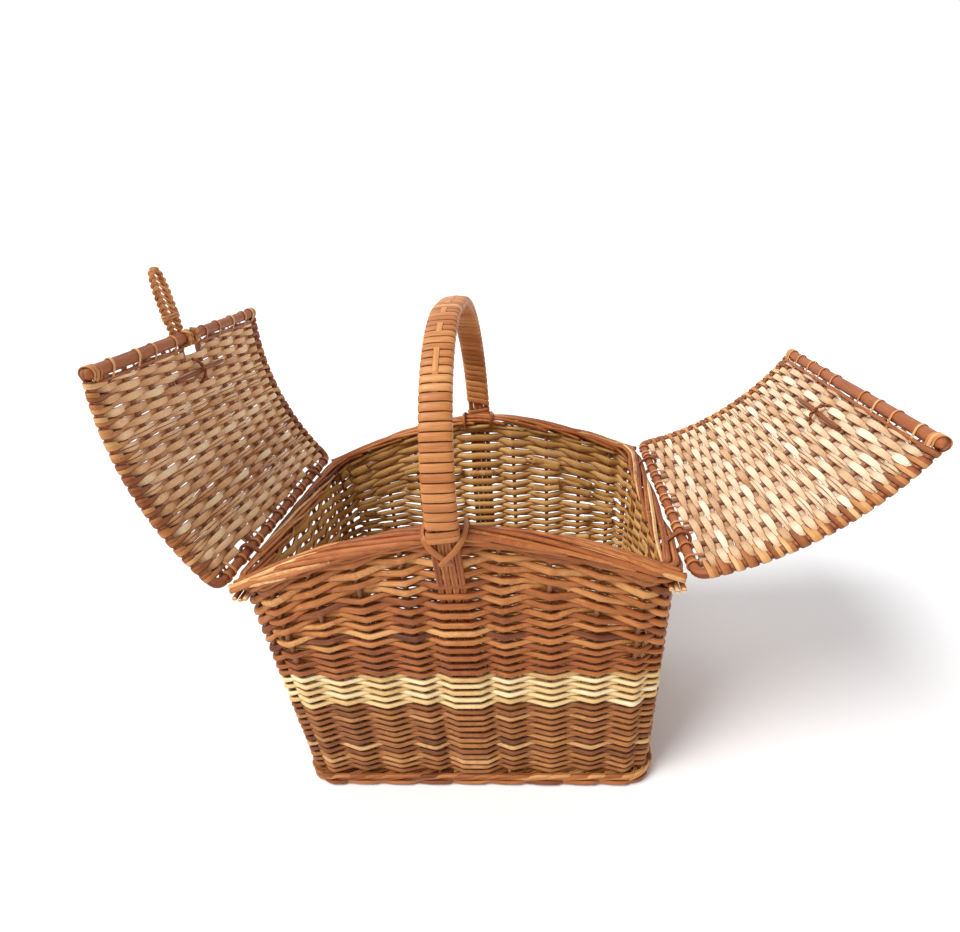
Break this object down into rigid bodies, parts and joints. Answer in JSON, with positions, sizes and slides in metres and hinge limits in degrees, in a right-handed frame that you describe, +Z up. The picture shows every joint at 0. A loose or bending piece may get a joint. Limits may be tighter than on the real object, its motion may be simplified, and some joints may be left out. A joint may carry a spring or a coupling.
{
  "type": "picnic basket",
  "caption": "Woven willow picnic basket with a wrapped hoop handle, hinged bowed lids and a plaited hasp.",
  "frame": {"origin": "on the floor under the middle of the base", "axes": "+Z up, +X along the length from the lid with the hasp to the other lid, -Y the front"},
  "size_m": [0.7172, 0.3478, 0.5524],
  "materials": {
    "brown_rod": "matt",
    "brown_weave": "matt",
    "pale_weave": "matt",
    "border_rod": "matt",
    "handle_rod": "matt",
    "wrapping_cane": "satin",
    "loop_willow": "matt",
    "lid_rod": "matt",
    "lid_rib": "matt",
    "split_willow": "matt",
    "plaited_willow": "matt"
  },
  "bodies": {
    "basket": {"base_sticks": "brown_rod", "base_weave": "brown_weave", "bottom_wale": "brown_weave", "lower_weave": "brown_weave", "pale_band": "pale_weave", "upper_weave": "brown_weave", "side_stakes": "brown_rod", "corner_stakes": "brown_rod", "border_rods": "border_rod", "handle_rods": "handle_rod", "handle_wrap": "wrapping_cane", "handle_leader": "wrapping_cane", "front_handle_tie": "wrapping_cane", "rear_handle_tie": "wrapping_cane", "left_hinge_loops": "loop_willow", "right_hinge_loops": "loop_willow"},
    "left_lid": {"left_hinge_rod": "lid_rod", "left_free_edge_rod": "lid_rod", "left_side_rods": "lid_rod", "left_edge_wraps": "split_willow", "left_ribs": "lid_rib", "left_lid_weave": "split_willow", "left_rod_ties": "wrapping_cane", "left_corner_lashings": "wrapping_cane", "left_staple_ring": "loop_willow", "left_staple_rod": "lid_rib"},
    "right_lid": {"right_hinge_rod": "lid_rod", "right_free_edge_rod": "lid_rod", "right_side_rods": "lid_rod", "right_edge_wraps": "split_willow", "right_ribs": "lid_rib", "right_lid_weave": "split_willow", "right_rod_ties": "wrapping_cane", "right_corner_lashings": "wrapping_cane", "right_staple_ring": "loop_willow", "right_staple_rod": "lid_rib"},
    "hasp": {"hasp_plait": "plaited_willow", "hasp_binding": "wrapping_cane"}
  },
  "joints": [
    {"name": "left_lid_hinge", "type": "hinge", "parent": "basket", "child": "left_lid", "pos_m": [-0.216, 0, 0.271], "axis": [0, -1, 0], "range_deg": [-91.78, 58.5]},
    {"name": "right_lid_hinge", "type": "hinge", "parent": "basket", "child": "right_lid", "pos_m": [0.216, 0, 0.271], "axis": [0, 1, 0], "range_deg": [-131.78, 18.5]},
    {"name": "hasp_hinge", "type": "hinge", "parent": "left_lid", "child": "hasp", "pos_m": [-0.28491, 0, 0.47696], "axis": [0, -1, 0], "range_deg": [-6, 112]}
  ]
}
